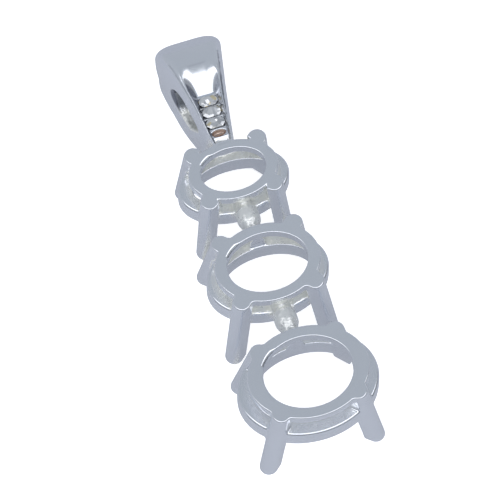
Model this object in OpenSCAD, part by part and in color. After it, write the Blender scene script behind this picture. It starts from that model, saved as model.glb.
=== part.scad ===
// Three-stone drop pendant mount, laid face down on the tips of its prongs.
// X runs across the pendant, Y along it towards the bail, Z up from the surface it lies on.

/* [Small basket] */
// Outer length of the small basket's rail, across the pendant
small_rail_l = 6.45; // [6.2:0.05:6.8]
// Outer width of the small basket's rail, along the pendant
small_rail_w = 4.1; // [3.9:0.05:4.3]
// Outer length of the small back plate
small_plate_l = 5.15; // [5:0.05:5.4]
// Outer width of the small back plate
small_plate_w = 3.65; // [3.5:0.05:3.8]
// Length of the small oval opening
small_open_l = 3.72; // [3.5:0.01:3.9]
// Width of the small oval opening
small_open_w = 2.6; // [2.4:0.05:2.7]
// Distance of the small basket's prong roots from its centre, across the pendant
small_root_x = 1.88; // [1.78:0.01:1.98]
// Distance of the small basket's prong roots from its centre, along the pendant
small_root_y = 1.48; // [1.38:0.01:1.58]
// How far the small basket's prongs lean out at their tips, across the pendant
small_lean_x = 0.48; // [0.38:0.01:0.58]
// How far the small basket's prongs lean out at their tips, along the pendant
small_lean_y = 0.5; // [0.4:0.01:0.6]
// Depth of the small basket's prongs, from the rounded outside to the flat inside
small_prong_depth = 0.8; // [0.75:0.01:0.85]

/* [Middle basket] */
// Outer length of the middle basket's rail
middle_rail_l = 7; // [6.8:0.05:7.2]
// Outer width of the middle basket's rail
middle_rail_w = 4.9; // [4.8:0.05:5.1]
// Outer length of the middle back plate
middle_plate_l = 6; // [5.8:0.05:6.2]
// Outer width of the middle back plate
middle_plate_w = 4.75; // [4.6:0.05:4.8]
// Length of the middle oval opening
middle_open_l = 4.56; // [4.4:0.02:4.8]
// Width of the middle oval opening
middle_open_w = 3.5; // [3.4:0.02:3.6]
// Distance of the middle basket's prong roots from its centre, across the pendant
middle_root_x = 2.12; // [2.02:0.01:2.22]
// Distance of the middle basket's prong roots from its centre, along the pendant
middle_root_y = 1.86; // [1.76:0.01:1.96]
// How far the middle basket's prongs lean out at their tips, across the pendant
middle_lean_x = 0.72; // [0.62:0.01:0.82]
// How far the middle basket's prongs lean out at their tips, along the pendant
middle_lean_y = 0.72; // [0.62:0.01:0.82]
// Depth of the middle basket's prongs, from the rounded outside to the flat inside
middle_prong_depth = 0.95; // [0.9:0.01:1]

/* [Large basket] */
// Outer length of the large basket's rail
large_rail_l = 8; // [7.8:0.05:8.2]
// Outer width of the large basket's rail
large_rail_w = 6.2; // [6:0.05:6.3]
// Outer length of the large back plate
large_plate_l = 6.85; // [6.7:0.05:7]
// Outer width of the large back plate
large_plate_w = 5.5; // [5.4:0.05:5.6]
// Length of the large oval opening
large_open_l = 5; // [4.8:0.05:5.2]
// Width of the large oval opening
large_open_w = 4.2; // [4:0.05:4.3]
// Distance of the large basket's prong roots from its centre, across the pendant
large_root_x = 2.2; // [2.1:0.01:2.3]
// Distance of the large basket's prong roots from its centre, along the pendant
large_root_y = 1.92; // [1.82:0.01:2.02]
// How far the large basket's prongs lean out at their tips, across the pendant
large_lean_x = 0.95; // [0.85:0.01:1.05]
// How far the large basket's prongs lean out at their tips, along the pendant
large_lean_y = 0.65; // [0.55:0.01:0.75]
// Depth of the large basket's prongs, from the rounded outside to the flat inside
large_prong_depth = 1; // [0.95:0.01:1.05]

/* [All baskets] */
// Height of a basket from the prong tips to the plate's back face
basket_h = 5.35; // [5.2:0.05:5.6]
// Thickness of a back plate
plate_t = 0.6; // [0.5:0.05:0.8]
// Height of a lower rail
rail_h = 1.25; // [1:0.05:1.4]
// Wall of a lower rail
rail_wall = 0.85; // [0.7:0.05:0.9]
// Depth of a lower rail's underside below the plate's back face
rail_drop = 2.7; // [2.5:0.05:3]
// Distance between the centres of the small and middle baskets
small_pitch = 6.04; // [5.9:0.01:6.2]
// Distance between the centres of the middle and large baskets
large_pitch = 7; // [6.9:0.01:7.1]

/* [Prongs and posts] */
// Width of a prong
prong_w = 1.05; // [0.95:0.05:1.1]
// Diameter of a post's rod
post_d = 0.92; // [0.8:0.02:1.1]
// Diameter of the round barrel in the middle of a post
barrel_d = 1.32; // [1.2:0.02:1.5]
// Length of a barrel's straight middle, between its round ends
barrel_l = 0.32; // [0.2:0.02:0.4]
// How far a barrel's middle lies beyond its post's middle, towards the bail
barrel_shift = 0.16; // [0.1:0.02:0.2]
// Depth of a post's axis below the plates' back face
post_drop = 1.15; // [1:0.05:1.3]
// How far a post runs into the basket at each of its ends
post_sink = 0.6; // [0.5:0.05:0.7]

/* [Bail] */
// Reach of the bail from the small basket's centre to its top
bail_reach = 9.37; // [9.2:0.01:9.5]
// Radius of the bail's round top
bail_r = 2.85; // [2.7:0.05:2.9]
// Height of the middle of the bail's round top above the surface
bail_mid_z = 3.1; // [3:0.05:3.3]
// Width of the bail at its top
bail_top_w = 4.1; // [3.9:0.05:4.2]
// Radius of the rounded corners at the two ends of the bail's top
bail_corner_r = 1.5; // [1:0.05:1.6]
// Width of the bail where it meets the small basket
bail_foot_w = 1.1; // [1:0.05:1.2]
// How far the bail's back swells out between its foot and its round top
bail_swell = 0.42; // [0.2:0.02:0.5]
// How far the bail's foot runs into the small back plate
foot_sink = 0.1; // [0.08:0.01:0.2]
// Depth of the bail's foot below the plate's back face
foot_step = 0.05; // [0.03:0.01:0.08]

/* [Eye of the bail] */
// Distance of the eye's round end from the small basket's centre
eye_at = 5.305; // [5.2:0.005:5.5]
// Height of the eye's round end above the surface
eye_z = 3.55; // [3.4:0.05:3.7]
// Radius of the eye's round end
eye_r = 1.2; // [1:0.05:1.3]
// Distance of the eye's narrow end from the small basket's centre
eye_start = 3.815; // [3.7:0.005:3.9]
// Height of the eye's narrow end above the surface
eye_end_z = 4.1; // [4:0.05:4.2]
// Radius of the eye's narrow end
eye_end_r = 0.3; // [0.2:0.05:0.35]

/* [Channel and scoop in the bail's front] */
// Depth of the channel that holds the stones
channel_depth = 0.42; // [0.38:0.01:0.45]
// Width of the channel's floor
channel_w = 1.08; // [1.04:0.01:1.1]
// Distance of the channel's lower end from the small basket's centre
channel_start = 1.855; // [1.8:0.005:1.95]
// Width of the rim beside the channel at its lower end
low_rim_w = 0.1; // [0.08:0.01:0.12]
// Width of the rim beside the scoop
high_rim_w = 0.23; // [0.2:0.01:0.26]
// Greatest depth of the scoop above the channel
scoop_depth = 0.66; // [0.6:0.01:0.7]
// Distance from the small basket's centre at which the scoop is deepest
scoop_start = 5.06; // [5:0.005:5.1]
// Length over which the channel's floor steps down into the scoop
scoop_step = 0.3; // [0.25:0.05:0.4]
// Distance of the scoop's upper end from the small basket's centre
scoop_end = 7.255; // [7.1:0.005:7.3]
// How fast the scoop's floor widens along the bail
scoop_widening = 0.22; // [0.18:0.01:0.26]

/* [Accent stones] */
// Size of an accent stone across the bail
accent_l = 1.08; // [1:0.01:1.1]
// Size of an accent stone along the bail
accent_w = 0.58; // [0.56:0.01:0.6]
// Distance between the centres of neighbouring accent stones
accent_pitch = 0.67; // [0.66:0.01:0.69]
// Distance of the lowest accent stone from the small basket's centre
accent_start = 3.2; // [3.19:0.005:3.22]
// Gap between a stone and its seat
stone_gap = 0.03; // [0.02:0.01:0.05]
// Height of an accent stone
accent_h = 0.42; // [0.38:0.01:0.45]
// Height of an accent stone's crown above its girdle
crown_h = 0.06; // [0.05:0.01:0.1]
// Thickness of an accent stone's girdle
girdle_h = 0.05; // [0.03:0.01:0.06]
// Size of the table as a share of the stone
table_part = 0.62; // [0.55:0.01:0.7]
// Cut of a stone's corners as a share of its width
corner_part = 0.34; // [0.3:0.01:0.38]
// Depth of a stone's seat below the channel's floor
seat_depth = 0.4; // [0.38:0.01:0.45]
// Length of the empty seat below the stones
empty_seat_l = 0.84; // [0.8:0.01:0.86]
// Width of the empty seat
empty_seat_w = 0.44; // [0.4:0.01:0.45]
// Distance of the empty seat from the small basket's centre
empty_seat_at = 2.58; // [2.55:0.01:2.59]

/* [Hidden] */
$fn = 64;

silver = "lightsteelblue";
crystal = "azure";

// A cut runs this far past the face that it opens
past = 0.5;
// Sides of an oval, of a bail's curve and of a prong's round outside
oval_sides = 72;
arc_steps = 24;
prong_steps = 10;
// Sides of the short arcs at the eye's narrow end and at the bail's corners
corner_steps = 8;
// Steps of the bail's swelling back
back_steps = 8;
// The scoop's floor rises along this power of the distance from its upper end
scoop_power = 1.9;
// The channel's rim grows to its full width between these distances from the small basket's centre
rim_grows_from = 2.415;
rim_grows_to = 4.415;
// Shares of the scoop's length at which its curve is drawn
scoop_shares = [0, 0.2, 0.5, 0.75, 1];
// Distances from the small basket's centre of the channel's cross sections
channel_places = concat([channel_start, rim_grows_from, scoop_start - scoop_step],
                        [for (share = scoop_shares) scoop_start + share * (scoop_end - scoop_start)]);
// Sides of an accent stone's outline, and the number of stones
stone_sides = 8;
accent_count = 3;

// Places of the three basket centres and of the bail's two ends, before the whole is centred
small_y = small_pitch;
large_y = -large_pitch;
far_end = small_y + bail_reach;
near_end = large_y - max(large_rail_w / 2, large_root_y + large_lean_y + prong_w / 2);
centre_y = (far_end + near_end) / 2;

// Levels of the plates, rails and posts
plate_z = basket_h - plate_t;
rail_z = basket_h - rail_drop;
post_z = basket_h - post_drop;

// The bail's side outline: a round top drawn down to a foot on the small basket
bail_mid_y = small_y + bail_reach - bail_r;
foot_y = small_y + small_plate_w / 2 - foot_sink;
foot_top = [foot_y, basket_h - foot_step];
foot_bottom = [foot_y, rail_z];

// Slope of the bail's front, from the foot to the top of its round end
front_slope = atan2(bail_mid_z + bail_r - foot_top[1], bail_mid_y - foot_y);

// Angle between the bail's sides and its length
taper_angle = atan2((bail_top_w - bail_foot_w) / 2, far_end - foot_y);

// Points of an oval round the origin
function oval_points(l, w) =
    [for (i = [0 : oval_sides - 1]) [l / 2 * cos(360 * i / oval_sides), w / 2 * sin(360 * i / oval_sides)]];

// Points of an arc from one angle to another
function arc_points(mid, r, from, to, steps) =
    [for (i = [0 : steps])
        let (angle = from + (to - from) * i / steps)
        mid + r * [cos(angle), sin(angle)]];

// Direction, seen from the middle of a circle, in which a line from point p touches it
function touch_angle(mid, r, p, side) =
    (360 + atan2(p[1] - mid[1], p[0] - mid[0]) + side * acos(r / norm(p - mid))) % 360;

// Height of the bail's front above the surface at a place along it
function front_z(y) = foot_top[1] + (y - foot_y) * tan(front_slope);

// Place of an accent stone along the bail, counted from the small basket
function accent_y(number) = small_y + accent_start + (number - 1) * accent_pitch;

// Half the bail's width at a place along it
function half_width(y) =
    let (part = (y - foot_y) / (far_end - foot_y))
    (bail_foot_w + (bail_top_w - bail_foot_w) * part) / 2;

// Swelling back of the bail, from its foot to the point where it meets the round top
function back_points(from, to) =
    let (run = to - from)
    let (out = [run[1], -run[0]] / norm(run))
    [for (i = [1 : back_steps - 1])
        let (part = i / back_steps)
        from + run * part + out * bail_swell * 4 * part * (1 - part)];

// Outline of the bail seen from its side, as [y, z]
function bail_outline() =
    let (mid = [bail_mid_y, bail_mid_z])
    let (upper = touch_angle(mid, bail_r, foot_top, -1))
    let (lower = touch_angle(mid, bail_r, foot_bottom, 1))
    let (round_top = arc_points(mid, bail_r, upper, lower - 360, arc_steps))
    let (back = back_points(foot_bottom, round_top[arc_steps]))
    concat([foot_bottom, foot_top], round_top, [for (i = [len(back) - 1 : -1 : 0]) back[i]]);

// Outline of the bail's eye, which the chain goes through
function eye_outline() =
    let (mid = [small_y + eye_at, eye_z])
    let (end = [small_y + eye_start, eye_end_z])
    let (tilt = atan2(end[1] - mid[1], end[0] - mid[0]))
    let (spread = acos((eye_r - eye_end_r) / norm(end - mid)))
    concat(arc_points(end, eye_end_r, tilt + spread, tilt - spread, corner_steps),
           arc_points(mid, eye_r, tilt - spread, tilt + spread - 360, arc_steps));

// Stands an outline drawn as [y, z] upright and gives it a width across the pendant
module across(width) {
    translate([width / 2, 0, 0])
        rotate([0, -90, 0])
            linear_extrude(width)
                rotate([0, 0, 90])
                    mirror([0, 1])
                        children();
}

// Outline of the bail from above, round at its far corners
function taper_outline() =
    let (foot_x = half_width(foot_y - past))
    let (top_x = half_width(far_end) - bail_corner_r)
    let (top_y = far_end - bail_corner_r)
    concat([[-foot_x, foot_y - past], [foot_x, foot_y - past]],
           arc_points([top_x, top_y], bail_corner_r, -taper_angle, 90, corner_steps),
           arc_points([-top_x, top_y], bail_corner_r, 90, 180 + taper_angle, corner_steps));

// Upright wedge with the bail's taper
module taper() {
    linear_extrude(bail_mid_z + bail_r + past)
        polygon(taper_outline());
}

// Half-round bar, its rounded side towards +X
module prong_bar(depth, length) {
    back = depth - prong_w / 2;
    linear_extrude(length)
        polygon(concat(arc_points([0, 0], prong_w / 2, -90, 90, prong_steps),
                       [[-back, prong_w / 2], [-back, -prong_w / 2]]));
}

// One prong of a basket, from the plate's back face down to the surface
module prong(root, lean, depth) {
    lean_direction = atan2(lean[1], lean[0]);
    tilt = atan2(norm(lean), basket_h);
    faces_out = atan2(root[1], root[0]);
    reach = norm(root) + norm(lean) + prong_w;
    intersection() {
        translate([root[0], root[1], basket_h])
            rotate([0, 0, lean_direction])
                rotate([0, -tilt, 0])
                    rotate([0, 0, faces_out - lean_direction])
                        translate([0, 0, -basket_h - past])
                            prong_bar(depth, basket_h + 2 * past);
        translate([-reach, -reach, 0])
            cube([2 * reach, 2 * reach, basket_h]);
    }
}

// Flat oval band with an oval opening
module oval_band(outer_l, outer_w, inner_l, inner_w, height) {
    difference() {
        linear_extrude(height)
            polygon(oval_points(outer_l, outer_w));
        translate([0, 0, -past])
            linear_extrude(height + 2 * past)
                polygon(oval_points(inner_l, inner_w));
    }
}

// Four-prong basket: back plate, lower rail and four prongs
module basket(plate, opening, rail, root, lean, depth) {
    translate([0, 0, plate_z])
        oval_band(plate[0], plate[1], opening[0], opening[1], plate_t);
    translate([0, 0, rail_z])
        oval_band(rail[0], rail[1], rail[0] - 2 * rail_wall, rail[1] - 2 * rail_wall, rail_h);
    for (x_side = [-1, 1], y_side = [-1, 1])
        prong([x_side * root[0], y_side * root[1]], [x_side * lean[0], y_side * lean[1]], depth);
}

// Round bar along the pendant at the height of the posts
module bar(from_y, to_y, d) {
    translate([0, from_y, post_z])
        rotate([-90, 0, 0])
            cylinder(h = to_y - from_y, d = d);
}

// Post that joins two neighbouring baskets on the centre line: a rod with a round-ended barrel on it
module post(from_y, to_y) {
    barrel_y = (from_y + to_y) / 2 + barrel_shift;
    bar(from_y, to_y, post_d);
    bar(barrel_y - barrel_l / 2, barrel_y + barrel_l / 2, barrel_d);
    for (end = [-1, 1])
        translate([0, barrel_y + end * barrel_l / 2, post_z])
            sphere(d = barrel_d);
}

// Depth of the channel or scoop at a distance from the small basket's centre
function hollow_depth(at) =
    let (sink = min(max((at - scoop_start + scoop_step) / scoop_step, 0), 1))
    let (rise = min(max((scoop_end - at) / (scoop_end - scoop_start), 0), 1))
    (channel_depth + (scoop_depth - channel_depth) * sink) * pow(rise, scoop_power);

// Half the width of the channel or scoop, halfway up its walls
function hollow_half(at) =
    let (grown = min(max((at - rim_grows_from) / (rim_grows_to - rim_grows_from), 0), 1))
    let (top_half = half_width(small_y + at) - low_rim_w - (high_rim_w - low_rim_w) * grown)
    let (floor_half = channel_w / 2 + scoop_widening * max(at - scoop_start, 0))
    (top_half + min(floor_half, top_half)) / 2;

// Cut that sinks the bail's front between its rims
module channel() {
    places = [for (at = channel_places) small_y + at];
    last = len(places) - 1;
    right_side = [for (i = [0 : last]) [hollow_half(channel_places[i]), places[i]]];
    left_side = [for (i = [last : -1 : 0]) [-hollow_half(channel_places[i]), places[i]]];
    floor_line = [for (i = [0 : last]) [places[i], front_z(places[i]) - hollow_depth(channel_places[i])]];
    intersection() {
        linear_extrude(bail_mid_z + bail_r + past)
            polygon(concat(right_side, left_side));
        across(bail_top_w)
            polygon(concat(floor_line, [[places[last], front_z(places[last]) + past],
                                        [places[0], front_z(places[0]) + past]]));
    }
}

// Puts children on the channel's floor at a place along the bail, square to the front
module on_channel_floor(y) {
    translate([0, y, front_z(y) - channel_depth / cos(front_slope)])
        rotate([front_slope, 0, 0])
            children();
}

// Slot that takes the row of accent stones
module stone_slot() {
    middle = accent_start + (accent_count - 1) / 2 * accent_pitch;
    slot_l = accent_l + 2 * stone_gap;
    slot_w = accent_pitch / cos(front_slope) * (accent_count - 1) + accent_w + 2 * stone_gap;
    on_channel_floor(small_y + middle)
        translate([-slot_l / 2, -slot_w / 2, -seat_depth])
            cube([slot_l, slot_w, seat_depth + past]);
}

// Tapered bail with its eye, channel and stone seats
module bail() {
    difference() {
        intersection() {
            taper();
            across(bail_top_w + 2 * past)
                polygon(bail_outline());
        }
        across(bail_top_w + 2 * past)
            polygon(eye_outline());
        channel();
        stone_slot();
        on_channel_floor(small_y + empty_seat_at)
            translate([0, 0, -seat_depth])
                linear_extrude(seat_depth + past)
                    polygon(oval_points(empty_seat_l, empty_seat_w));
    }
}

// All the soldered silver: three baskets, two posts and the bail
module mount() {
    color(silver)
        translate([0, -centre_y, 0]) {
            translate([0, small_y, 0])
                basket([small_plate_l, small_plate_w], [small_open_l, small_open_w],
                       [small_rail_l, small_rail_w], [small_root_x, small_root_y],
                       [small_lean_x, small_lean_y], small_prong_depth);
            basket([middle_plate_l, middle_plate_w], [middle_open_l, middle_open_w],
                   [middle_rail_l, middle_rail_w], [middle_root_x, middle_root_y],
                   [middle_lean_x, middle_lean_y], middle_prong_depth);
            translate([0, large_y, 0])
                basket([large_plate_l, large_plate_w], [large_open_l, large_open_w],
                       [large_rail_l, large_rail_w], [large_root_x, large_root_y],
                       [large_lean_x, large_lean_y], large_prong_depth);
            post(middle_plate_w / 2 - post_sink, small_y - small_plate_w / 2 + post_sink);
            post(large_y + large_plate_w / 2 - post_sink, -middle_plate_w / 2 + post_sink);
            bail();
        }
}

// Eight-sided outline of an accent stone at a share of its full size
function accent_ring(share, z) =
    let (x = accent_l / 2 * share)
    let (y = accent_w / 2 * share)
    let (cut = accent_w * corner_part * share)
    [
        [x, y - cut, z], [x - cut, y, z], [cut - x, y, z], [-x, y - cut, z],
        [-x, cut - y, z], [cut - x, -y, z], [x - cut, -y, z], [x, cut - y, z],
    ];

// Step-cut accent stone: a table, eight crown facets, a girdle and eight pavilion facets
module accent_stone(number) {
    pavilion_h = accent_h - crown_h - girdle_h;
    table_ring = accent_ring(table_part, girdle_h + crown_h);
    rings = concat(accent_ring(1, 0), accent_ring(1, girdle_h), table_ring);
    tip = len(rings);
    last = stone_sides - 1;
    bands = [for (ring = [0 : 1], i = [0 : last])
        let (low = stone_sides * ring)
        let (next = (i + 1) % stone_sides)
        [low + i, low + stone_sides + i, low + stone_sides + next, low + next]];
    point = [for (i = [0 : last]) [i, (i + 1) % stone_sides, tip]];
    table = [for (i = [last : -1 : 0]) 2 * stone_sides + i];
    color(crystal)
        translate([0, -centre_y, 0])
            on_channel_floor(accent_y(number))
                polyhedron(concat(rings, [[0, 0, -pavilion_h]]), concat(bands, point, [table]));
}

mount();
accent_stone(1);  // accent_stone_1
accent_stone(2);  // accent_stone_2
accent_stone(3);  // accent_stone_3
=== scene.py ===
# %% [markdown]
# # A three-stone pendant mount in polished silver
# The object is the empty metalwork of a pendant: three oval prong baskets in a line, small, middle and
# large, with a short post soldered between each two, and a tapered loop, the bail, at the small end for
# the chain. It lies face down on the tips of its prongs, so what shows is its back.
# The CAD model gives the sizes and the place of every part. This lesson skins the same forms with the
# soft edges, solder fillets and dished bail of a cast and polished piece, then lights and frames it.

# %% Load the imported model
import bmesh
import bpy
import numpy as np
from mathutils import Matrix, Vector


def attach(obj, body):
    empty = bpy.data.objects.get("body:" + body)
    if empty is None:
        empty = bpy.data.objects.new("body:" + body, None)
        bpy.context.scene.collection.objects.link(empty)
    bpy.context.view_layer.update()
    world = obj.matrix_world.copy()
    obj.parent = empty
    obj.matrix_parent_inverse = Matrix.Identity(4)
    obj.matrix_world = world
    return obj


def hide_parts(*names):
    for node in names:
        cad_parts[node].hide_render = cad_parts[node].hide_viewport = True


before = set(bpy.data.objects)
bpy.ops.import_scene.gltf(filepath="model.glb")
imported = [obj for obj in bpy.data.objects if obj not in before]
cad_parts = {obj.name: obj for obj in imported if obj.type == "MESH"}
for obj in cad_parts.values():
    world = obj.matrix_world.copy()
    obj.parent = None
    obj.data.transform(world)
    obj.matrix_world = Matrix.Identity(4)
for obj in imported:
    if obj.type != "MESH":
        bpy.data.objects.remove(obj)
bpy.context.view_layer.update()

# %% [markdown]
# ## The sizes
# Every size is in millimetres and is the CAD model's own. The mount runs along Y, the plates' backs are
# at one height, and each basket is told by the outlines of its plate, its opening and its lower rail.
# A prong is told by its root, by how far it leans out down to its tip, by its depth from back to front,
# and by how round its tip is.

# %% Sizes of the baskets
MM = 0.001
BACK_Z = 5.35
PLATE_T = 0.6
RAIL_LOW, RAIL_HIGH, RAIL_WALL = 2.65, 3.9, 0.85
PRONG_W = 1.05

BASKETS = [
    {"name": "small", "y": 3.385, "plate": (5.15, 3.65), "opening": (3.72, 2.6), "rail": (6.45, 4.1),
     "root": (1.88, 1.48), "lean": (0.48, 0.5), "depth": 0.8, "tip": 0.14},
    {"name": "middle", "y": -2.655, "plate": (6.0, 4.75), "opening": (4.56, 3.5), "rail": (7.0, 4.9),
     "root": (2.12, 1.86), "lean": (0.72, 0.72), "depth": 0.95, "tip": 0.14},
    {"name": "large", "y": -9.655, "plate": (6.85, 5.5), "opening": (5.0, 4.2), "rail": (8.0, 6.2),
     "root": (2.2, 1.92), "lean": (0.95, 0.65), "depth": 1.0, "tip": 0.18},
]
for basket in BASKETS:
    print(basket["name"], "basket: rail", basket["rail"], "mm, centre at y", basket["y"])

# %% [markdown]
# The posts lie on the centre line, in the gaps between neighbouring plates. The bail is two circles seen
# from the side, a small one at its foot and a large one where the chain runs, with a straight band drawn
# round them, and its eye is told in the same way.

# %% Sizes of the posts and the bail
POST_R, POST_Z, POST_SINK = 0.46, 4.2, 0.6
BARREL_R, BARREL_L, BARREL_SHIFT = 0.66, 0.32, 0.16
NEIGHBOURS = [(BASKETS[1], BASKETS[0]), (BASKETS[2], BASKETS[1])]

FOOT_Y, FOOT_MID_Z, FOOT_R = 5.11, 3.975, 1.325
LOOP_Y, LOOP_Z, LOOP_R = 9.905, 3.1, 2.85
BAIL_END_Y = LOOP_Y + LOOP_R
EYE_Y, EYE_Z, EYE_R = 8.69, 3.55, 1.2
EYE_END_Y, EYE_END_Z, EYE_END_R = 7.2, 4.1, 0.3
BAIL_FOOT_HALF, BAIL_TOP_HALF, BAIL_CORNER_R = 0.55, 2.05, 1.5
BAIL_FLARE, BAIL_BULGE, BAIL_BACK_BULGE = 0.25, 0.16, 0.45


def plate_gap(lower, upper):
    """Where the gap between two neighbouring plates starts and ends along the mount."""
    return lower["y"] + lower["plate"][1] / 2, upper["y"] - upper["plate"][1] / 2


for lower, upper in NEIGHBOURS:
    start, end = plate_gap(lower, upper)
    print("gap between the", lower["name"], "and", upper["name"], "plates:", round(end - start, 2), "mm")
print("bail reaches y", round(BAIL_END_Y, 3))

# %% [markdown]
# ## Forms as distances
# Cast and soldered metal has no sharp edges and no seams: every joint is a small hollow curve. Boxes and
# cylinders joined with booleans would show razor edges. Instead each form is written as a distance: how
# far a point is from its surface, negative inside. Distances are easy to join with a fillet, to cut with
# a rounded edge, and to dish out, which is just what files, solder and a polishing wheel do.

# %% Distance helpers
TINY = 1e-3


def oval(x, y, size):
    """Distance in the plane to an oval of that length and width."""
    a, b = size[0] / 2, size[1] / 2
    near = np.maximum(np.hypot(x / a, y / b), TINY)
    slope = np.maximum(np.hypot(x / a ** 2, y / b ** 2), TINY)
    return near * (near - 1) / slope


def cut(a, b, radius):
    """What two forms share, with the edge between them rounded."""
    a, b = a + radius, b + radius
    return np.minimum(np.maximum(a, b), 0) + np.hypot(np.maximum(a, 0), np.maximum(b, 0)) - radius


def solder(a, b, fillet):
    """Two forms joined, with a fillet between them."""
    mix = np.maximum(fillet - np.abs(a - b), 0) / fillet
    return np.minimum(a, b) - mix ** 2 * fillet / 4


def rise(value, start, length):
    """Grows from 0 to 1 over a length, from a start on, and stays there."""
    return np.clip((value - start) / length, 0, 1)


def drawn_loop(y, z, r_low, r_high, low, high):
    """Distance in the side view to two circles with a band drawn tight round them."""
    along = np.array(high) - np.array(low)
    length = np.hypot(*along)
    u = ((y - low[0]) * along[0] + (z - low[1]) * along[1]) / length
    v = np.abs((y - low[0]) * along[1] - (z - low[1]) * along[0]) / length
    lean = (r_low - r_high) / length
    straight = np.sqrt(1 - lean ** 2)
    side = v * lean * -1 + u * straight
    band = v * straight + u * lean - r_low
    at_low = np.hypot(u, v) - r_low
    at_high = np.hypot(u - length, v) - r_high
    return np.where(side < 0, at_low, np.where(side > length * straight, at_high, band))


print("a fillet of 0.3 mm fills", round(-float(solder(0.0, 0.0, 0.3)), 3), "mm in the corner of two forms")

# %% [markdown]
# ## A basket
# A basket is a flat oval back plate, a wider oval rail under it, and four half-round prongs that start in
# the plate's edge, pass the rail and lean out to the tips. On the real one the prong roots are filed flush
# with the plate. So the plate and prongs are first joined with no top, and one cut then faces them
# together, which leaves the plate's outline with its four flush bumps. The edge of each opening has been
# eased with a burr at one spot, beside the far left prong, and shows a dark and a bright tick there.

# %% One prong
PRONG_EDGE = 0.05


def prong(x, y, z, basket, x_side, y_side):
    """One leaning half-round prong, open at its top and tip."""
    root_x, root_y = x_side * basket["root"][0], y_side * basket["root"][1]
    down = (BACK_Z - z) / BACK_Z
    dx = x - root_x - x_side * basket["lean"][0] * down
    dy = y - root_y - y_side * basket["lean"][1] * down
    out = np.hypot(root_x, root_y)
    outward = (dx * root_x + dy * root_y) / out
    sideways = np.abs(dx * root_y - dy * root_x) / out
    rounded = np.hypot(np.maximum(outward, 0), sideways) - PRONG_W / 2
    flat = -outward - (basket["depth"] - PRONG_W / 2)
    return cut(rounded, flat, PRONG_EDGE)


for basket in BASKETS:
    tip = [round(r + s, 2) for r, s in zip(basket["root"], basket["lean"])]
    print(basket["name"], "prong tips at", tip, "mm from the basket's middle")

# %% A whole basket
EDGE = 0.09
RAIL_EDGE, RAIL_INNER_EDGE = 0.2, 0.06
FILLET = 0.16
EASED_SPOT, EASED_FROM, EASED_FADE = (-0.8, 0.6), 0.93, 0.05
EASED_DEPTH, EASED_EDGE = 0.17, 0.06
SLANT = 0.7  # a slope of 45 degrees is this part of its height away
DEEP = -1e3  # so far inside that it cuts nothing
MIDDLE_R = 0.1


def basket_form(x, y, z, basket):
    """A whole basket, from the plate's back to the prong tips."""
    y = y - basket["y"]
    from_opening = oval(x, y, basket["opening"])
    ring = cut(oval(x, y, basket["plate"]), -from_opening, EDGE)
    plate = cut(ring, BACK_Z - PLATE_T - z, EDGE)
    length, width = basket["rail"]
    inner = (length - 2 * RAIL_WALL, width - 2 * RAIL_WALL)
    rail = cut(oval(x, y, basket["rail"]), np.maximum(RAIL_LOW - z, z - RAIL_HIGH), RAIL_EDGE)
    rail = cut(rail, -oval(x, y, inner), RAIL_INNER_EDGE)
    form = solder(plate, rail, FILLET)
    for x_side in (-1, 1):
        for y_side in (-1, 1):
            form = solder(form, prong(x, y, z, basket, x_side, y_side), FILLET)
    form = np.maximum(form, np.where(z > BACK_Z - PLATE_T - EDGE, -from_opening, DEEP))
    form = cut(form, z - BACK_Z, EDGE)
    toward_spot = (x * EASED_SPOT[0] + y * EASED_SPOT[1]) / np.maximum(np.hypot(x, y), MIDDLE_R)
    eased = EASED_DEPTH * rise(toward_spot, EASED_FROM, EASED_FADE)
    burr = (z - BACK_Z + eased - np.abs(from_opening)) * SLANT
    form = np.where(eased > 0, cut(form, burr, EASED_EDGE), form)
    return cut(form, -z, basket["tip"])


large = BASKETS[2]
rail_middle = (large["rail"][0] / 2 - RAIL_WALL / 2, large["y"], (RAIL_LOW + RAIL_HIGH) / 2)
print("the large rail is", round(-2 * float(basket_form(*rail_middle, large)), 2), "mm thick")

# %% [markdown]
# ## The posts
# Two neighbouring baskets are joined by a short post at the height of the gap between plate and rail. It
# is a small round-ended barrel on a thinner rod, and solder runs up round both its ends.

# %% Posts
ROD_EDGE, BARREL_FILLET = 0.1, 0.12


def post_form(x, y, z, lower, upper):
    """The post between two baskets: a rod with a round-ended barrel on it."""
    start, end = plate_gap(lower, upper)
    start, end = start - POST_SINK, end + POST_SINK
    middle, half = (start + end) / 2, (end - start) / 2
    along = y - middle
    from_axis = np.hypot(x, z - POST_Z)
    rod = cut(from_axis - POST_R, np.abs(along) - half, ROD_EDGE)
    beyond = np.maximum(np.abs(along - BARREL_SHIFT) - BARREL_L / 2, 0)
    barrel = np.hypot(from_axis, beyond) - BARREL_R
    return solder(rod, barrel, BARREL_FILLET)


print("posts:", len(NEIGHBOURS), "with barrels", 2 * BARREL_R, "mm thick")

# %% [markdown]
# ## The bail
# The bail is a drop-shaped loop: wide and round where the chain runs, and narrow where it is soldered to
# the small basket. Seen from above it is a long wedge. Its front is dished out to a channel with a thin
# rim on each side. The channel holds the small stones, and at its upper end it opens like a scoop and
# runs out on the round ridge. At its lower end the floor rises to a small lip, which falls away towards
# the small basket and catches the light.

# %% The bail's front face
FRONT_DROP = 0.05  # how far the front starts below the small plate's back
FRONT_TAN = (LOOP_Z + LOOP_R - BACK_Z + FRONT_DROP) / (LOOP_Y - FOOT_Y)
FRONT_SLOPE = np.arctan(FRONT_TAN)
FRONT_COS, FRONT_SIN = np.cos(FRONT_SLOPE), np.sin(FRONT_SLOPE)


def front_z(y):
    """Height of the bail's front face."""
    return BACK_Z - FRONT_DROP + (y - FOOT_Y) * FRONT_TAN


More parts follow.
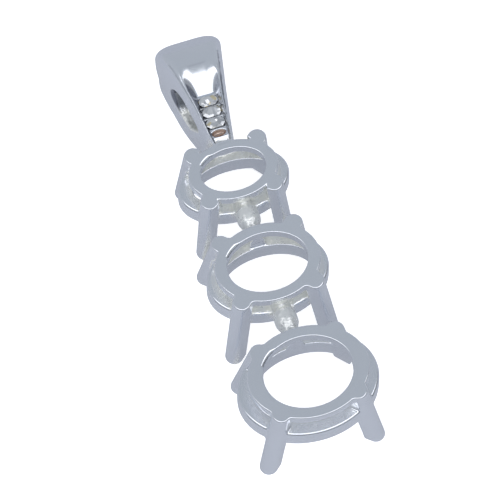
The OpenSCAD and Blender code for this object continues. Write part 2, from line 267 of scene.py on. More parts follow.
def half_width(y):
    """Half the bail's width at a place along it; its sides flare a little towards the top."""
    part = (y - FOOT_Y) / (BAIL_END_Y - FOOT_Y)
    return BAIL_FOOT_HALF + (BAIL_TOP_HALF - BAIL_FOOT_HALF) * part - BAIL_FLARE * part * (1 - part)


print("the front rises", round(float(np.degrees(FRONT_SLOPE)), 1), "degrees")
for name, place_y in (("foot", FOOT_Y), ("loop", LOOP_Y)):
    print("the bail is", round(2 * half_width(place_y), 2), "mm wide at its", name)

# %% The channel and the scoop
CHANNEL_LOW_Y, SCOOP_Y, SCOOP_END_Y = 5.24, 8.445, 10.64
CHANNEL_DEPTH, CHANNEL_HALF, CHANNEL_END_EDGE = 0.42, 0.54, 0.05
SCOOP_DEPTH, SCOOP_STEP, SCOOP_POWER, SCOOP_WIDENING = 0.66, 0.3, 1.9, 0.22
LOW_RIM, HIGH_RIM = 0.1, 0.23
RIM_FROM_Y, RIM_TO_Y = 5.8, 7.8
LIP_Y, LIP_RISE, LIP_STEP, LIP_TOP, LIP_TAN = 5.74, 0.2, 0.08, 0.06, 0.5
WALL_SLANT, WALL_FOOT, LEAST_DEPTH = 0.88, 0.02, 0.05
BOWL_R, BOWL_GROWTH, BOWL_LENGTH = 0.14, 0.22, 1.2


def channel_form(x, y, z):
    """The hollow in the bail's front: a channel for the stones that opens into a scoop."""
    fade = rise(SCOOP_END_Y - y, 0, SCOOP_END_Y - SCOOP_Y)
    sink = rise(y - SCOOP_Y + SCOOP_STEP, 0, SCOOP_STEP)
    depth = (CHANNEL_DEPTH + (SCOOP_DEPTH - CHANNEL_DEPTH) * sink) * fade ** SCOOP_POWER
    lip = LIP_RISE * rise(LIP_Y - y, 0, LIP_STEP) - LIP_TAN * np.maximum(LIP_Y - LIP_TOP - y, 0)
    floor_z = front_z(y) - depth + lip
    rim = LOW_RIM + (HIGH_RIM - LOW_RIM) * rise(y, RIM_FROM_Y, RIM_TO_Y - RIM_FROM_Y)
    top_half = half_width(y) - rim
    widened = CHANNEL_HALF + SCOOP_WIDENING * np.maximum(y - SCOOP_Y, 0)
    floor_half = np.minimum(widened, top_half - WALL_FOOT)
    up = np.clip((z - floor_z) / np.maximum(depth, LEAST_DEPTH), -0.5, 1.5)
    walls = (np.abs(x) - floor_half - (top_half - floor_half) * up) * WALL_SLANT
    bowl = BOWL_R + BOWL_GROWTH * rise(y, SCOOP_Y, BOWL_LENGTH)
    hollow = cut(walls, (floor_z - z) * FRONT_COS, bowl)
    return cut(hollow, CHANNEL_LOW_Y - y, CHANNEL_END_EDGE)


print("channel", CHANNEL_DEPTH, "mm deep, scoop", SCOOP_DEPTH, "mm")

# %% The loop with its eye
BULGE_HEIGHT, BACK_FADE = 4, 2
SIDE_EDGE, SIDE_EDGE_GROWTH = 0.2, 0.35
FOOT_EDGE, EYE_EDGE, CHANNEL_EDGE = 0.05, 0.22, 0.08


def eye_form(y, z):
    """Distance to the wall of the bail's eye, seen from the side."""
    return drawn_loop(y, z, EYE_END_R, EYE_R, (EYE_END_Y, EYE_END_Z), (EYE_Y, EYE_Z))


def bail_form(x, y, z):
    """The loop with its eye and its dished front."""
    level = (front_z(y) - z) / BULGE_HEIGHT
    taper = np.abs(x) - half_width(y) - BAIL_BULGE * 4 * np.clip(level * (1 - level), 0, 0.25)
    plan = cut(taper, y - BAIL_END_Y, BAIL_CORNER_R)
    along = rise(y, FOOT_Y, LOOP_Y - FOOT_Y)
    sag = BAIL_BACK_BULGE * 4 * along * (1 - along) * rise(LOOP_Z + BACK_FADE / 2 - z, 0, BACK_FADE)
    side = drawn_loop(y, z, FOOT_R, LOOP_R, (FOOT_Y, FOOT_MID_Z), (LOOP_Y, LOOP_Z)) - sag
    body = cut(plan, side, SIDE_EDGE + SIDE_EDGE_GROWTH * along)
    body = cut(body, FOOT_Y - y, FOOT_EDGE)
    body = cut(body, -eye_form(y, z), EYE_EDGE)
    return cut(body, -channel_form(x, y, z), CHANNEL_EDGE)


print("the middle of the eye is", round(float(bail_form(0.0, EYE_Y, EYE_Z)), 2), "mm clear of the silver")

# %% [markdown]
# ## The stones' seats
# Three small stones sit in a row of pockets in the channel's floor, and a fourth pocket below them is
# empty. The pockets are square to the sloping floor, so they are cut in the floor's own directions. Each
# stone's pocket is drilled to a point like the underside of the stone, so a thin ridge of silver stands
# between two stones and shines through the gap. The empty seat is a small oval dish with sloping walls.

# %% Seats
STONE_L, STONE_W, STONE_PITCH, STONE_START_Y = 1.08, 0.58, 0.67, 6.585
STONE_COUNT = 3
SEAT_GAP = 0.03
BED_DEPTH, BED_LIFT, BED_SLANT = 0.37, 0.03, 0.65
EMPTY_SEAT_Y, EMPTY_SEAT, EMPTY_DEPTH = 5.965, (0.84, 0.44), 0.26
EMPTY_TAPER, EMPTY_SLANT, EMPTY_EDGE = 0.4, 0.9, 0.1


def on_floor(y, z, place_y):
    """Steps along the channel's floor and up from it, from a place along the bail."""
    floor_z = front_z(place_y) - CHANNEL_DEPTH
    dy, dz = y - place_y, z - floor_z
    return dy * FRONT_COS + dz * FRONT_SIN, dz * FRONT_COS - dy * FRONT_SIN


def seat_form(x, y, z):
    """The slot that takes the three stones, and the empty seat below it."""
    middle_y = STONE_START_Y + STONE_PITCH * (STONE_COUNT - 1) / 2
    along, up = on_floor(y, z, middle_y)
    pitch = STONE_PITCH / FRONT_COS
    half_l, half_w = STONE_L / 2 + SEAT_GAP, STONE_W / 2 + SEAT_GAP
    slot = np.maximum(np.abs(x) - half_l, np.abs(along) - pitch * (STONE_COUNT - 1) / 2 - half_w)
    from_stone = np.abs((along / pitch + 0.5) % 1 - 0.5) * pitch
    bed = -BED_LIFT - BED_DEPTH * np.clip(1 - np.maximum(from_stone / half_w, np.abs(x) / half_l), 0, 1)
    slot = np.maximum(slot, (bed - up) * BED_SLANT)
    along, up = on_floor(y, z, EMPTY_SEAT_Y)
    walls = (oval(x, along, EMPTY_SEAT) - up * EMPTY_TAPER) * EMPTY_SLANT
    return np.minimum(slot, cut(walls, -up - EMPTY_DEPTH, EMPTY_EDGE))


print("stones at y", [round(STONE_START_Y + STONE_PITCH * i, 3) for i in range(STONE_COUNT)],
      "and the empty seat at", EMPTY_SEAT_Y)

# %% [markdown]
# ## The whole mount
# All the silver is soldered, so it is one form and one skin. The solder runs widest round the ends of the
# posts. At the bail's foot the fillet is small, and the seats are cut last, with crisp edges.

# %% Whole mount
POST_SOLDER, BAIL_SOLDER, SEAT_EDGE = 0.3, 0.15, 0.03


def mount_form(x, y, z):
    """Distance to the whole of the silver."""
    form = None
    for basket in BASKETS:
        part = basket_form(x, y, z, basket)
        form = part if form is None else np.minimum(form, part)
    for lower, upper in NEIGHBOURS:
        form = solder(form, post_form(x, y, z, lower, upper), POST_SOLDER)
    form = solder(form, bail_form(x, y, z), BAIL_SOLDER)
    return cut(form, -seat_form(x, y, z), SEAT_EDGE)


print("between the plates there is silver at the post's height:",
      bool(mount_form(0.0, sum(plate_gap(*NEIGHBOURS[0])) / 2, POST_Z) < 0))

# %% [markdown]
# ## Skinning
# The skin is found on a fine grid. Each grid cell that the surface passes through gives one point, and
# each grid edge that the surface crosses gives one four-sided face between its four cells. The points
# can then be slid along the slope of the distance until they lie on the true surface. A plain ball, 2 mm
# wide, tests each step.

# %% Measure a form on a grid
SLAB = 24


def measured_grid(form, axes):
    """The distance at each point of a grid, worked out slab by slab to save memory."""
    value = np.empty([len(a) for a in axes], np.float32)
    for first in range(0, len(axes[1]), SLAB):
        ys = axes[1][first:first + SLAB]
        value[:, first:first + SLAB] = form(*np.meshgrid(axes[0], ys, axes[2], indexing="ij"))
    return value


def surface_cells(inside):
    """The grid cells that the surface passes through, and a number for each."""
    cells = tuple(n - 1 for n in inside.shape)
    count = np.zeros(cells, np.uint8)
    for corner in np.ndindex(2, 2, 2):
        count += inside[tuple(slice(c, c + n) for c, n in zip(corner, cells))]
    live = np.argwhere((count > 0) & (count < 8))
    number = np.full(cells, -1, np.int32)
    number[tuple(live.T)] = np.arange(len(live))
    return live, number


def ball(x, y, z):
    """Distance to the test ball."""
    return np.sqrt(x ** 2 + y ** 2 + z ** 2) - 1


BALL_BOX, BALL_GRID = 1.2, 0.2
ball_axes = [np.arange(-BALL_BOX, BALL_BOX + BALL_GRID, BALL_GRID)] * 3
ball_inside = measured_grid(ball, ball_axes) < 0
print("cells on the test ball's surface:", len(surface_cells(ball_inside)[0]))

# %% Points and faces of the skin
def cell_points(value, live):
    """One point in each surface cell: the middle of its edges' crossings, in grid steps."""
    total, crossings = np.zeros((len(live), 3)), np.zeros((len(live), 1))
    for axis in range(3):
        for corner in np.ndindex(2, 2, 2):
            if corner[axis]:
                continue
            other = list(corner)
            other[axis] = 1
            a = value[tuple((live + corner).T)]
            b = value[tuple((live + other).T)]
            crossed = (a < 0) != (b < 0)
            share = np.where(crossed, a / np.where(crossed, a - b, 1), 0)
            spot = np.tile(np.array(corner, float), (len(live), 1))
            spot[:, axis] += share
            total += np.where(crossed[:, None], spot, 0)
            crossings[:, 0] += crossed
    return live + total / crossings


def edge_faces(inside, number):
    """One four-sided face round each grid edge that the surface crosses, turned outwards."""
    faces = []
    for axis in range(3):
        one, two = (axis + 1) % 3, (axis + 2) % 3
        here = [slice(1, n - 1) for n in inside.shape]
        here[axis] = slice(0, inside.shape[axis] - 1)
        ahead = list(here)
        ahead[axis] = slice(1, inside.shape[axis])
        a, b = inside[tuple(here)], inside[tuple(ahead)]
        edges = np.argwhere(a != b)
        leaving = a[tuple(edges.T)]
        edges[:, one] += 1
        edges[:, two] += 1
        ring = []
        for d_one, d_two in ((0, 0), (-1, 0), (-1, -1), (0, -1)):
            cell = edges.copy()
            cell[:, one] += d_one
            cell[:, two] += d_two
            ring.append(number[tuple(cell.T)])
        quads = np.stack(ring, 1)
        quads[~leaving] = quads[~leaving][:, ::-1]
        faces.append(quads)
    return np.concatenate(faces)


def skin(form, low, high, step):
    """Points and four-sided faces of the surface of a form."""
    value = measured_grid(form, [np.arange(a, b + step, step) for a, b in zip(low, high)])
    inside = value < 0
    live, number = surface_cells(inside)
    return np.array(low) + cell_points(value, live) * step, edge_faces(inside, number)


ball_points, ball_faces = skin(ball, (-BALL_BOX,) * 3, (BALL_BOX,) * 3, BALL_GRID)
print("the test ball's skin:", len(ball_points), "points,", len(ball_faces), "faces")

# %% Slide points on to the surface
def steepness(form, points, reach=0.004):
    """The slope of the distance at each point, and how steep it is."""
    slope = np.empty_like(points)
    for axis in range(3):
        step = np.zeros(3)
        step[axis] = reach
        ahead, behind = (points + step).T, (points - step).T
        slope[:, axis] = form(*ahead) - form(*behind)
    slope /= 2 * reach
    size = np.linalg.norm(slope, axis=1, keepdims=True)
    return slope, np.maximum(size, 1e-6)


def settle(form, points, turns, limit):
    """Slides points on to the true surface."""
    for _ in range(turns):
        slope, size = steepness(form, points)
        away = form(*points.T)[:, None] / size
        points = points - np.clip(away, -limit, limit) * slope / size
    return points


settled = settle(ball, ball_points, turns=2, limit=0.05)
for state, tried in (("found", ball_points), ("settled", settled)):
    print("the test ball's points as", state, "are off by", round(float(np.abs(ball(*tried.T)).max()), 4), "mm")

# %% [markdown]
# ## Making the mesh
# The grid is fine enough for the small fillets, but flat plates and straight prongs don't need so many
# faces. A light decimation takes them away where the skin is flat. The corners are then settled on the
# true surface again. A few land on the same place, and those are welded, so that the skin stays closed
# and has no face without area.

# %% Build the mount
GRID = 0.05
GRID_LOW, GRID_HIGH = (-4.4, -13.1, -0.3), (4.4, 13.1, 6.6)
FACE_LIMIT = 180000


def mesh_object(name, points, faces):
    """A new object from points in millimetres."""
    mesh = bpy.data.meshes.new(name)
    mesh.from_pydata(points.tolist(), [], faces.tolist())
    made = bpy.data.objects.new(name, mesh)
    bpy.context.scene.collection.objects.link(made)
    return made


points, faces = skin(mount_form, GRID_LOW, GRID_HIGH, GRID)
print("skin:", len(points), "points,", len(faces), "faces")
silver_mount = mesh_object("silver_mount", points, faces)
thin = silver_mount.modifiers.new("thin", "DECIMATE")
thin.ratio = min(1.0, FACE_LIMIT / (2 * len(faces)))
thin.use_collapse_triangulate = True
bpy.context.view_layer.objects.active = silver_mount
bpy.context.view_layer.update()
shown = silver_mount.evaluated_get(bpy.context.evaluated_depsgraph_get())
thinned = bpy.data.meshes.new_from_object(shown)
silver_mount.modifiers.remove(thin)
silver_mount.data = thinned
print("thinned to", len(thinned.polygons), "faces")

# %% Settle and weld it
SETTLE_TURNS, SETTLE_LIMIT = 2, 0.02
WELD = 0.003


def corners_of(mesh):
    """A mesh's points as an array."""
    co = np.empty(len(mesh.vertices) * 3)
    mesh.vertices.foreach_get("co", co)
    return co.reshape(-1, 3)


points = settle(mount_form, corners_of(thinned), SETTLE_TURNS, SETTLE_LIMIT)
thinned.vertices.foreach_set("co", points.astype(np.float32).ravel())
weld = bmesh.new()
weld.from_mesh(thinned)
bmesh.ops.remove_doubles(weld, verts=weld.verts, dist=WELD)
bmesh.ops.dissolve_degenerate(weld, edges=weld.edges, dist=WELD)
bmesh.ops.triangulate(weld, faces=[face for face in weld.faces if len(face.verts) > 3])
open_edges = sum(len(edge.link_faces) != 2 for edge in weld.edges)
weld.to_mesh(thinned)
weld.free()
print("mount:", len(thinned.polygons), "faces, and", open_edges, "edges without two faces")

# %% [markdown]
# ## True normals
# Each corner gets the exact normal, which is the slope of the distance there. The polish then reflects
# smoothly over the flat faces of the mesh. The same distances tell how open the space in front of each
# corner is: a wheel polishes what is in the open and can't reach into a recess.

# %% Normals and openness
OPEN_REACH, OPEN_STEPS = 1.4, 5

points = corners_of(thinned)
slope, size = steepness(mount_form, points)
normals = slope / size


def openness(form, points, normals):
    """How open the space in front of each point is, from 0 in a recess to 1 in the clear."""
    total = np.zeros(len(points))
    for i in range(1, OPEN_STEPS + 1):
        far = OPEN_REACH * i / OPEN_STEPS
        total += np.clip(form(*(points + normals * far).T) / far, 0, 1)
    return total / OPEN_STEPS


open_share = openness(mount_form, points, normals)
print("in a recess:", round(100 * float((open_share < 0.5).mean())), "% of the points")

# %% [markdown]
# ## What the wheel leaves, and where shade is painted
# The steep walls of the channel, the left one most, and the far end of the bail's eye are painted a near-black
# shade, which stands in for the shade and dark reflections there. The recesses between plate and rail, the rest
# of the eye and the soldered posts are only brushed, so they are satin, and less so in the large basket, which
# is the most open; their colour is also painted warmer and darker, for the light bounced about in the recesses.
# The empty seat is painted a darker brown. One could paint all this on by hand, but the form already tells
# where it belongs, so each finish is a share from 0 to 1, worked out for every corner.

# %% Painted shade
EYE_NEAR, EYE_FADE = 0.14, 0.06
WALL_TOP, WALL_BOTTOM, WALL_START = 0.03, 0.95, 0.1
WALL_TILT, SCOOP_TILT, SCOOP_TURN, TILT_FADE = 0.3, 0.25, 0.8, 0.15
RIGHT_WALL_SHARE = 0.4
FAR_END_TILT, FAR_END_FADE = 0.35, 0.3


def in_eye(points):
    """How surely a point is on the wall of the bail's eye."""
    x, y, z = points.T
    return rise(EYE_NEAR - np.abs(eye_form(y, z)), 0, EYE_FADE)


def painted_shade_places(points, normals):
    """Where the channel's steep walls, the left one most, and the eye's far end are painted dark, as painted
    shade.
    """
    x, y, z = points.T
    under = front_z(y) - z
    within = (under > WALL_TOP) & (under < WALL_BOTTOM) & (np.abs(x) < half_width(y) - LOW_RIM)
    within &= (y > CHANNEL_LOW_Y + WALL_START) & (y < SCOOP_END_Y)
    tilt = WALL_TILT + SCOOP_TILT * rise(y, SCOOP_Y, SCOOP_TURN)
    left_wall = rise(normals[:, 0], tilt, TILT_FADE)
    right_wall = rise(-normals[:, 0], tilt, TILT_FADE)
    # the right wall gets less painted shade than the left
    walls = np.maximum(left_wall, RIGHT_WALL_SHARE * right_wall) * within
    far_end = rise(-normals[:, 1], FAR_END_TILT, FAR_END_FADE) * in_eye(points)
    return np.maximum(walls, far_end)


painted_shade_share = painted_shade_places(points, normals)
print("dark skin on", round(100 * float((painted_shade_share > 0.5).mean()), 1), "% of the points")

# %% Satin, painted warmth and the brown seat
RECESS, RECESS_FADE = 0.62, 0.4
LARGE_FROM_Y, LARGE_SHARE = -6.4, 0.5
POST_REACH, POST_FADE, POST_MARGIN, POST_SATIN_AND_TINT = 0.85, 0.1, 0.2, 0.75
EYE_TURN, EYE_TURN_FADE, EYE_SATIN_AND_TINT = -0.65, 0.3, 0.9
SEAT_BROWN_TOP, SEAT_BROWN_FADE = 0.02, 0.06


def satin_and_warm_tint(points, normals, open_share):
    """Where no wheel reaches, so that the silver stays satin and its colour is painted warmer: the recesses,
    the eye and the posts.
    """
    x, y, z = points.T
    recess = rise(RECESS - open_share, 0, RECESS_FADE) * np.where(y < LARGE_FROM_Y, LARGE_SHARE, 1)
    post = rise(POST_REACH - np.hypot(x, z - POST_Z), 0, POST_FADE)
    gaps = np.zeros(len(points))
    for lower, upper in NEIGHBOURS:
        start, end = plate_gap(lower, upper)
        gaps = np.maximum(gaps, (y > start - POST_MARGIN) & (y < end + POST_MARGIN))
    eye = in_eye(points) * rise(normals[:, 1], EYE_TURN, EYE_TURN_FADE)
    return np.maximum.reduce([recess, EYE_SATIN_AND_TINT * eye, POST_SATIN_AND_TINT * post * gaps])


def seat_brown(points):
    """The empty seat, which is painted a darker brown."""
    x, y, z = points.T
    under = front_z(y) - z - CHANNEL_DEPTH
    outside = oval(x, y - EMPTY_SEAT_Y, EMPTY_SEAT)
    return rise(under, SEAT_BROWN_TOP, SEAT_BROWN_FADE) * rise(SEAT_BROWN_FADE - outside, 0, SEAT_BROWN_FADE)


satin_and_warm_tint_share = satin_and_warm_tint(points, normals, open_share)
seat_brown_share = seat_brown(points)
print("satin on", round(100 * float((satin_and_warm_tint_share > 0.5).mean())), "% of the points")

# %% Store normals and finish in the mesh
thinned.vertices.foreach_set("co", (points * MM).astype(np.float32).ravel())
thinned.polygons.foreach_set("use_smooth", [True] * len(thinned.polygons))
thinned.update()
thinned.normals_split_custom_set_from_vertices(normals.tolist())
for name, share in (("satin_and_warm_tint_share", satin_and_warm_tint_share), ("painted_shade_share", painted_shade_share), ("seat_brown_share", seat_brown_share)):
    stored = thinned.attributes.new(name, "FLOAT", "POINT")
    stored.data.foreach_set("value", share.astype(np.float32))
print("stored:", [attribute.name for attribute in thinned.attributes if attribute.name.endswith("_share")])

# %% [markdown]
# ## Small tools for shaders
# A finish is a little network of nodes. The same few moves come again in each of them: make a node, turn
# one value into another by a ramp, mix two colours, add or multiply. Each gets a short helper.

# %% Shader helpers
def node(tree, kind, **values):
    """A shader node with its settings."""
    made = tree.nodes.new(kind)
    for key, value in values.items():
        if hasattr(made, key):
            setattr(made, key, value)
        else:
            made.inputs[key].default_value = value
    return made


def new_material(name):
    """An empty material and its main shader."""
    material = bpy.data.materials.new(name)
    material.use_nodes = True
    tree = material.node_tree
    tree.nodes.clear()
    shader = tree.nodes.new("ShaderNodeBsdfPrincipled")
    output = tree.nodes.new("ShaderNodeOutputMaterial")
    tree.links.new(shader.outputs[0], output.inputs["Surface"])
    return material, tree, shader


def ramp(tree, source, stops):
    """A colour ramp fed by a value."""
    made = tree.nodes.new("ShaderNodeValToRGB")
    made.color_ramp.elements[0].position = stops[0][0]
    made.color_ramp.elements[0].color = (*stops[0][1], 1)
    made.color_ramp.elements[1].position = stops[-1][0]
    made.color_ramp.elements[1].color = (*stops[-1][1], 1)
    for position, colour in stops[1:-1]:
        made.color_ramp.elements.new(position).color = (*colour, 1)
    tree.links.new(source, made.inputs["Fac"])
    return made.outputs["Color"]


def shades(tree, source, stops):
    """A ramp of greys, which turns one value into another."""
    return ramp(tree, source, [(at, (grey,) * 3) for at, grey in stops])


def mixed(tree, share, first, second):
    """Two colours mixed by a share; a colour is a constant or what another node gives."""
    made = node(tree, "ShaderNodeMix", data_type="RGBA")
    tree.links.new(share, made.inputs["Factor"])
    for socket, colour in (("A", first), ("B", second)):
        if isinstance(colour, tuple):
            made.inputs[socket].default_value = (*colour, 1)
        else:
            tree.links.new(colour, made.inputs[socket])
    return made.outputs["Result"]


def reckoned(tree, operation, first, second):
    """Two values added or multiplied."""
    made = node(tree, "ShaderNodeMath", operation=operation)
    tree.links.new(first, made.inputs[0])
    tree.links.new(second, made.inputs[1])
    return made.outputs[0]


print("materials so far:", len(bpy.data.materials))

# %% [markdown]
# ## Polished silver
# Silver is a clear, slightly cool white metal. Nothing in it is even: the wheel leaves faint waves and
# hair-fine lines. Where the silver is satin it is rougher and a little pitted, and it mirrors less; its colour
# there is painted warmer and darker, which stands in for the warm light bounced about in the recesses. The
# painted shade and the brown seat lie over that as their own tones. The shader follows the three shares that
# the mesh carries, and noise breaks up each tone.

# %% Silver tones
SILVER = (0.86, 0.885, 0.93)
SILVER_DIM = tuple(0.97 * c for c in SILVER)
# a warmer, darker tint painted into the satin places, standing in for warm light bounced about in the recesses
PAINTED_WARM_TINT = (0.84, 0.84, 0.765)
# painted shade: a near-black tone for the channel's steep walls and the eye's far end
PAINTED_SHADE_COLOUR, PAINTED_SHADE_MOST = (0.07, 0.08, 0.12), 0.75
# a darker brown painted into the empty seat
SEAT_BROWN, SEAT_BROWN_MOST = (0.52, 0.38, 0.30), 0.9
CLOUD_SCALE, LINE_SCALE, PIT_SCALE = 420.0, 2600.0, 3000.0


def noise(tree, place, scale, detail):
    """A cloudy pattern that is fixed to the piece."""
    made = node(tree, "ShaderNodeTexNoise", Scale=scale, Detail=detail)
    tree.links.new(place, made.inputs["Vector"])
    return made.outputs["Fac"]


def stored_share(tree, name):
    """A share that the mesh carries."""
    return node(tree, "ShaderNodeAttribute", attribute_name=name).outputs["Fac"]


silver, tree, shader = new_material("polished_silver")
place = tree.nodes.new("ShaderNodeTexCoord").outputs["Object"]
cloud = noise(tree, place, CLOUD_SCALE, 3.0)
satin_and_tint = stored_share(tree, "satin_and_warm_tint_share")
colour = ramp(tree, cloud, [(0.3, SILVER_DIM), (0.7, SILVER)])
# the satin places are painted warmer and darker, for the light bounced about in the recesses
colour = mixed(tree, shades(tree, satin_and_tint, [(0.2, 0), (1.0, 0.75)]), colour, PAINTED_WARM_TINT)
# then the painted shade and the empty seat's brown go over the silver
for name, skin_colour, most in (("painted_shade_share", PAINTED_SHADE_COLOUR, PAINTED_SHADE_MOST), ("seat_brown_share", SEAT_BROWN, SEAT_BROWN_MOST)):
    share = shades(tree, stored_share(tree, name), [(0.0, 0), (1.0, most)])
    colour = mixed(tree, share, colour, skin_colour)
tree.links.new(colour, shader.inputs["Base Color"])
print("silver tones:", len(tree.nodes), "nodes")

# %% Silver polish
WAVE_DEPTH, PIT_DEPTH = 0.00002, 0.0002

tree.links.new(shades(tree, satin_and_tint, [(0.0, 0.88), (1.0, 0.5)]), shader.inputs["Metallic"])
lines = shades(tree, noise(tree, place, LINE_SCALE, 4.0), [(0.3, 0.10), (0.75, 0.19)])
unpolished = shades(tree, satin_and_tint, [(0.0, 0), (1.0, 0.2)])
tree.links.new(reckoned(tree, "ADD", lines, unpolished), shader.inputs["Roughness"])
wave = node(tree, "ShaderNodeBump", Strength=0.05, Distance=WAVE_DEPTH)
tree.links.new(cloud, wave.inputs["Height"])
pits = node(tree, "ShaderNodeBump", Distance=PIT_DEPTH)
tree.links.new(shades(tree, satin_and_tint, [(0.1, 0), (1.0, 0.8)]), pits.inputs["Strength"])
tree.links.new(noise(tree, place, PIT_SCALE, 2.0), pits.inputs["Height"])
tree.links.new(wave.outputs["Normal"], pits.inputs["Normal"])
tree.links.new(pits.outputs["Normal"], shader.inputs["Normal"])

silver_mount.data.materials.clear()
silver_mount.data.materials.append(silver)
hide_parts("mount")
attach(silver_mount, "root")
print("silver on the mount")

# %% [markdown]
# ## The small stones
# The CAD stones already have a table and eight crown facets each, which is the right shape, so they stay and
# get a clear stone's shader. Light that enters a cut stone is thrown back by the facets below, so through the
# table one sees a patchwork of light and dark facets with a warm glint here and there. That patchwork is
# painted into the stones' colour: cells of about a facet's size each get their own tilt and a painted light or
# dark tone, and a few get a painted warm glint.

# %% Stone tones, with painted flashes and glints
FACET_SCALE, FACET_TILT = 3600.0, 0.5
# painted light and dark facet flashes, and a painted warm glint
PAINTED_FACET_FLASHES = [(0.0, (0.55, 0.57, 0.6)), (0.5, (0.9, 0.92, 0.94)), (1.0, (1, 1, 1))]
PAINTED_WARM_GLINT = (0.95, 0.84, 0.55)

crystal, tree, shader = new_material("clear_stone")
shader.inputs["Transmission Weight"].default_value = 0.45
shader.inputs["Metallic"].default_value = 0.4
shader.inputs["IOR"].default_value = 2.1
shader.inputs["Roughness"].default_value = 0.05
place = tree.nodes.new("ShaderNodeTexCoord").outputs["Object"]
facets = node(tree, "ShaderNodeTexVoronoi", Scale=FACET_SCALE)
tree.links.new(place, facets.inputs["Vector"])
cell = tree.nodes.new("ShaderNodeSeparateColor")
tree.links.new(facets.outputs["Color"], cell.inputs[0])
# a few cells get a painted warm glint, the rest a painted light or dark flash
painted_glint = shades(tree, cell.outputs[1], [(0.8, 0), (0.82, 1)])
painted_flash_tone = mixed(tree, painted_glint, ramp(tree, cell.outputs[0], PAINTED_FACET_FLASHES), PAINTED_WARM_GLINT)
tree.links.new(painted_flash_tone, shader.inputs["Base Color"])
print("facet cells about", round(1000 / FACET_SCALE, 2), "mm wide")

# %% Stone facets
centred = node(tree, "ShaderNodeVectorMath", operation="SUBTRACT")
tree.links.new(facets.outputs["Color"], centred.inputs[0])
centred.inputs[1].default_value = (0.5, 0.5, 0.5)
tilt = node(tree, "ShaderNodeVectorMath", operation="SCALE", Scale=FACET_TILT)
tree.links.new(centred.outputs["Vector"], tilt.inputs[0])
face = tree.nodes.new("ShaderNodeNewGeometry")
tilted = node(tree, "ShaderNodeVectorMath", operation="ADD")
tree.links.new(face.outputs["Normal"], tilted.inputs[0])
tree.links.new(tilt.outputs["Vector"], tilted.inputs[1])
unit = node(tree, "ShaderNodeVectorMath", operation="NORMALIZE")
tree.links.new(tilted.outputs["Vector"], unit.inputs[0])
tree.links.new(unit.outputs["Vector"], shader.inputs["Normal"])
for number in range(1, STONE_COUNT + 1):
    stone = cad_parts[f"accent_stone_{number}"]
    stone.data.materials.clear()
    stone.data.materials.append(crystal)
print("stones:", STONE_COUNT)

# %% [markdown]
# ## The floor
# A plain pale sheet. A polished thing shows what is round it, and a pure white sheet would make the
# silver vanish into it. So, as on a jeweller's table, the silver sees the sheet a shade deeper than the
# lens does.

# %% Floor
FLOOR_SIZE = 4
PAPER = {  # for each socket, what the lens sees and what the silver mirrors
    "Base Color": ((0.9, 0.9, 0.9), (0.2, 0.21, 0.235)),
    "Emission Color": ((0.68, 0.68, 0.68), (0.25, 0.262, 0.295)),
}

bpy.ops.mesh.primitive_plane_add(size=FLOOR_SIZE)
floor = bpy.context.object
floor.name = "floor"
paper, tree, shader = new_material("pale_paper")
mirrored = tree.nodes.new("ShaderNodeLightPath").outputs["Is Glossy Ray"]
for socket, (pale, deep) in PAPER.items():
    tree.links.new(mixed(tree, mirrored, pale, deep), shader.inputs[socket])
shader.inputs["Emission Strength"].default_value = 1
shader.inputs["Roughness"].default_value = 0.9
shader.inputs["Specular IOR Level"].default_value = 0.1
floor.data.materials.append(paper)
print("floor:", FLOOR_SIZE, "m wide")

# %% [markdown]
# ## Soft light
# Read back from what each part of the silver mirrors, the studio is an even grey tent. High in front a
# white window strip goes round to both sides, and every edge that is rounded towards the lens catches it
# as a thin white line. Just above the table the tent is open to a dark room, which sets a thin dark line
# beside the white one. A darker flap hangs on the right, and the lens looks through a paler patch
# overhead.

# %% The tent's cloth
world = bpy.data.worlds.new("tent")
bpy.context.scene.world = world
world.use_nodes = True
sky = world.node_tree
sky.nodes.clear()
air = sky.nodes.new("ShaderNodeBackground")
end = sky.nodes.new("ShaderNodeOutputWorld")
sky.links.new(air.outputs[0], end.inputs["Surface"])
direction = sky.nodes.new("ShaderNodeTexCoord").outputs["Generated"]
parts = sky.nodes.new("ShaderNodeSeparateXYZ")
sky.links.new(direction, parts.inputs[0])
height = parts.outputs["Z"]


def panel(behind, aim, start, full, heights, colour):
    """Hangs a cloth of one colour round a direction and within some heights, over what is behind it."""
    toward = node(sky, "ShaderNodeVectorMath", operation="DOT_PRODUCT")
    sky.links.new(direction, toward.inputs[0])
    toward.inputs[1].default_value = aim
    sideways = shades(sky, toward.outputs["Value"], [(start, 0), (full, 1)])
    hung = reckoned(sky, "MULTIPLY", sideways, shades(sky, height, heights))
    return mixed(sky, hung, behind, colour)


print("world:", world.name)

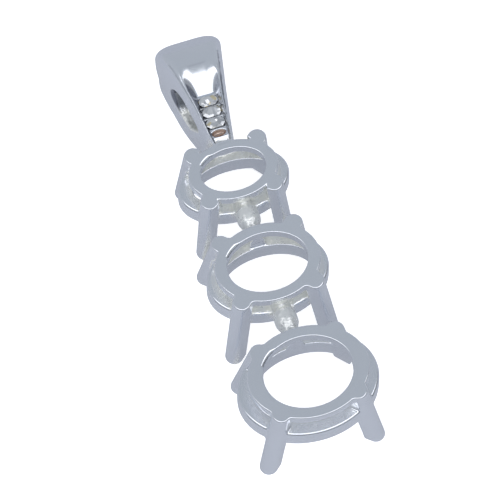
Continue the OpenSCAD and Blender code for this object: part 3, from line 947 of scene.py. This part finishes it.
# %% Hang the panels
LOW_CLOTH, HIGH_CLOTH = (0.42, 0.45, 0.50), (0.38, 0.415, 0.46)
STRIP = [(0.66, 0), (0.74, 1), (0.905, 1), (0.945, 0)]
NEAR_TABLE = [(0.2, 1), (0.3, 0)]
ALL_HEIGHTS = [(0, 1), (1, 1)]
RIGHT_FRONT, LEFT_FRONT = (0.26, -0.966, 0), (-0.4, -0.917, 0)
RIGHT_SIDE, ABOVE = (0.86, -0.1, 0.5), (0.137, 0.074, 0.988)
WHITE, DARK = (1.7, 1.72, 1.8), (0.03, 0.033, 0.04)
FLAP, OVERHEAD = (0.26, 0.275, 0.3), (0.32, 0.345, 0.39)
PANELS = [  # direction, where the cloth starts and is whole, its heights and its colour
    (RIGHT_FRONT, 0.2, 0.35, NEAR_TABLE, DARK),
    (LEFT_FRONT, 0.35, 0.5, NEAR_TABLE, DARK),
    (RIGHT_SIDE, 0.92, 0.965, ALL_HEIGHTS, FLAP),
    (ABOVE, 0.992, 0.999, ALL_HEIGHTS, OVERHEAD),
    (RIGHT_FRONT, 0.06, 0.14, STRIP, WHITE),
    (LEFT_FRONT, 0.06, 0.14, STRIP, WHITE),
]

tent = ramp(sky, height, [(0.0, LOW_CLOTH), (1.0, HIGH_CLOTH)])
for settings in PANELS:
    tent = panel(tent, *settings)
sky.links.new(tent, air.inputs["Color"])
print("tent panels:", len(PANELS))

# %% [markdown]
# One soft box in front, a little to the left, adds the gentle shading of a lamp behind cloth. The silver
# doesn't mirror the box itself, only the tent.

# %% Soft box
BOX_PLACE, BOX_AIM = (-0.25, -0.55, 0.42), (0, 0, 0.003)
BOX_SIZE, BOX_POWER = (0.7, 0.4), 2.2


def soft_box(name, place, aim, size, power):
    """A soft light behind a sheet of that width and height."""
    light = bpy.data.lights.new(name, "AREA")
    light.shape = "RECTANGLE"
    light.size, light.size_y = size
    light.energy = power
    made = bpy.data.objects.new(name, light)
    made.location = place
    made.rotation_euler = (Vector(aim) - Vector(place)).to_track_quat("-Z", "Y").to_euler()
    made.visible_camera = False
    made.visible_glossy = False
    bpy.context.scene.collection.objects.link(made)
    return made


front_box = soft_box("front_box", BOX_PLACE, BOX_AIM, BOX_SIZE, BOX_POWER)
print(front_box.name, "of", front_box.data.energy, "W")

# %% [markdown]
# ## The camera
# The photograph looks down on the back of the mount at a steep angle, from the large basket's end and a
# little from the left, with a long lens, so that the far end hardly shrinks. The lens is aimed at the
# middle basket, which lies a little right of the picture's middle and a little below it.

# %% Camera
ELEVATION, TURN = 64.5, 18.5
DISTANCE, SENSOR_MM = 0.26, 36
FRAME_PX, LENS_PX = 500, 4706
AIM = Vector((0, BASKETS[1]["y"], BACK_Z)) * MM
AIM_RIGHT_PX, AIM_DOWN_PX = 17.8, 11.6

lift, turn = np.radians(ELEVATION), np.radians(TURN)
towards = Vector((-np.sin(turn) * np.cos(lift), -np.cos(turn) * np.cos(lift), np.sin(lift)))
camera = bpy.data.objects.new("camera", bpy.data.cameras.new("camera"))
bpy.context.scene.collection.objects.link(camera)
camera.location = AIM + towards * DISTANCE
camera.rotation_euler = (-towards).to_track_quat("-Z", "Y").to_euler()
camera.data.sensor_width = SENSOR_MM
camera.data.lens = SENSOR_MM * LENS_PX / FRAME_PX
camera.data.shift_x = -AIM_RIGHT_PX / FRAME_PX
camera.data.shift_y = AIM_DOWN_PX / FRAME_PX
camera.data.clip_start = 0.01
bpy.context.scene.camera = camera
bpy.context.scene.view_settings.view_transform = "Standard"
print("lens:", round(camera.data.lens), "mm at", DISTANCE, "m")
